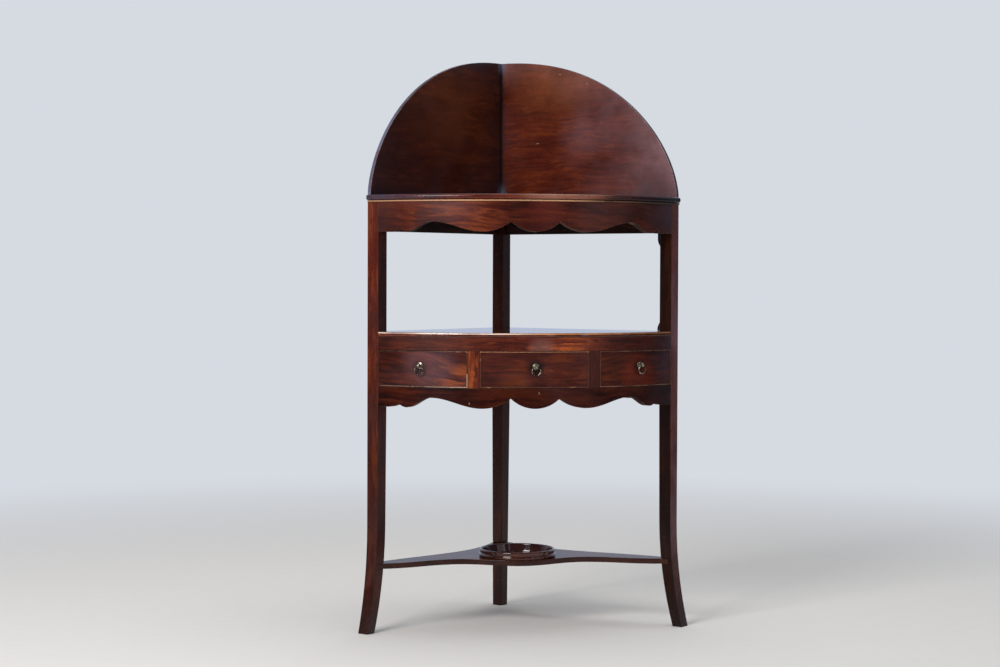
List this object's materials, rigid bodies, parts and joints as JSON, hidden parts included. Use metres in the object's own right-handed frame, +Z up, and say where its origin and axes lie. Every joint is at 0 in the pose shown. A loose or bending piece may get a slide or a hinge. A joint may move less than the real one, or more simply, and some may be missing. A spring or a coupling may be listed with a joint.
{
  "type": "corner table",
  "caption": "Bow-fronted mahogany corner washstand with an arched gallery, an open stage, a drawer stage and a shaped undertier.",
  "frame": {"origin": "on the floor, at the centre of the footprint's bounding box", "axes": "+Z up; the bowed front faces -Y and the right-angled back corner points to +Y; +X is to the right when facing the front"},
  "size_m": [0.657, 0.4512, 1.1392],
  "materials": {
    "mahogany": "waxed and polished",
    "dark_mahogany": "darkened polish",
    "bead_wood": "worn polish",
    "oak": "dry, unpolished",
    "pine": "dry, unpolished",
    "brass": "aged and darkened",
    "steel": "dull"
  },
  "bodies": {
    "stand": {"left_front_leg": "mahogany", "right_front_leg": "mahogany", "rear_leg": "mahogany", "top_frieze": "mahogany", "drawer_rail": "mahogany", "scalloped_apron": "mahogany", "top_rail_left": "dark_mahogany", "top_rail_right": "dark_mahogany", "side_panel_left": "dark_mahogany", "side_panel_right": "dark_mahogany", "top_board": "mahogany", "top_bead": "bead_wood", "middle_shelf": "mahogany", "gallery_left": "dark_mahogany", "gallery_right": "dark_mahogany", "upper_bracket_left": "dark_mahogany", "upper_bracket_right": "dark_mahogany", "lower_bracket_left": "dark_mahogany", "lower_bracket_right": "dark_mahogany", "divider_left": "mahogany", "divider_right": "mahogany", "dummy_front_left": "mahogany", "dummy_front_right": "mahogany", "cockbead_left": "bead_wood", "cockbead_right": "bead_wood", "runner_left": "oak", "runner_right": "oak", "guide_left": "oak", "guide_right": "oak", "kicker_left": "oak", "kicker_right": "oak", "drawer_stop_left": "oak", "drawer_stop_right": "oak", "top_glue_block_left": "pine", "top_glue_block_right": "pine", "shelf_glue_block_left": "pine", "shelf_glue_block_right": "pine", "dummy_front_block_left": "pine", "dummy_front_block_right": "pine", "undertier": "mahogany", "undertier_ring": "mahogany", "rosette_left": "brass", "rosette_right": "brass", "pull_post_left": "brass", "pull_post_right": "brass", "pull_nut_left": "steel", "pull_nut_right": "steel"},
    "drawer": {"drawer_front": "mahogany", "drawer_cockbead": "bead_wood", "drawer_side_left": "oak", "drawer_side_right": "oak", "drawer_back": "oak", "drawer_bottom": "oak", "rosette_centre": "brass", "pull_post_centre": "brass", "pull_nut_centre": "steel"},
    "centre_loop": {"pull_loop_centre": "brass"},
    "left_loop": {"pull_loop_left": "brass"},
    "right_loop": {"pull_loop_right": "brass"}
  },
  "joints": [
    {"name": "drawer_slide", "type": "slide", "parent": "stand", "child": "drawer", "axis": [0, -1, 0], "range_m": [0, 0.21]},
    {"name": "centre_loop_swing", "type": "hinge", "parent": "drawer", "child": "centre_loop", "pos_m": [0, -0.22117, 0.52245], "axis": [-1, 0, 0], "range_deg": [-15, 110]},
    {"name": "left_loop_swing", "type": "hinge", "parent": "stand", "child": "left_loop", "pos_m": [-0.21893, -0.16385, 0.52245], "axis": [-0.8717, 0.49, 0], "range_deg": [-15, 110]},
    {"name": "right_loop_swing", "type": "hinge", "parent": "stand", "child": "right_loop", "pos_m": [0.21893, -0.16385, 0.52245], "axis": [-0.8717, -0.49, 0], "range_deg": [-15, 110]}
  ]
}
